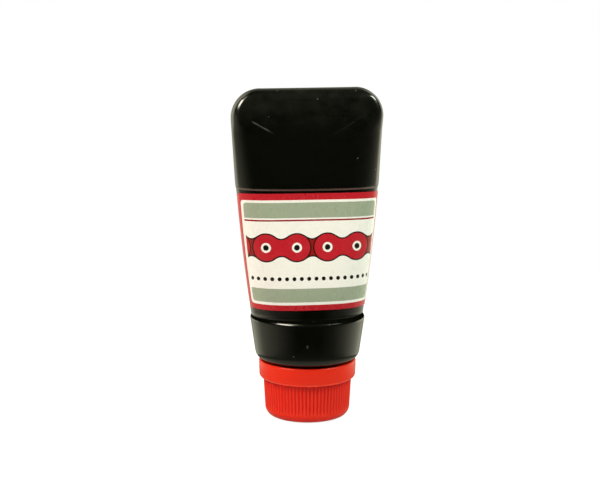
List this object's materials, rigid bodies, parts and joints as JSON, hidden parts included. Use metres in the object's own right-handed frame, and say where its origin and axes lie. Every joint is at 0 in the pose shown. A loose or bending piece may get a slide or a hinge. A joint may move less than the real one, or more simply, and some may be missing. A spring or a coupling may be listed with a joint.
{
  "type": "squeeze tube of grease",
  "caption": "Flattened black squeeze tube with a recessed front label, a sealing plug in its threaded neck and a ribbed red screw cap on which it stands tail up.",
  "frame": {"origin": "centre of the cap's standing face, on the thread axis", "axes": "+Z along the thread axis from the cap to the tail, the label faces -Y, +X runs along the tube's wide side"},
  "size_m": [0.0656, 0.0496, 0.1423],
  "materials": {
    "black_polyethylene": "blow moulded, satin gloss",
    "printed_film": "printed film, gloss",
    "natural_polyethylene": "injection moulded, translucent white",
    "graphite_grease": "dark grey paste with a faint metallic sheen",
    "red_polypropylene": "injection moulded, satin gloss",
    "white_foam": "closed-cell foam disc"
  },
  "bodies": {
    "cap": {"screw_cap": "red_polypropylene"},
    "liner": {"cap_liner": "white_foam"},
    "tube": {"tube_body": "black_polyethylene", "front_label": "printed_film", "orifice_plug": "natural_polyethylene", "grease_fill": "graphite_grease"}
  },
  "joints": [
    {"name": "tube_turn", "type": "hinge", "parent": "cap", "child": "liner", "pos_m": [0, 0, 0], "axis": [0, 0, 1], "range_deg": [0, 540]},
    {"name": "tube_lift", "type": "slide", "parent": "liner", "child": "tube", "axis": [0, 0, 1], "range_m": [0, 0.0064]}
  ],
  "couplings": [
    {"joint": "tube_lift", "follows": "tube_turn", "m_per_rad": 0.00067323}
  ]
}
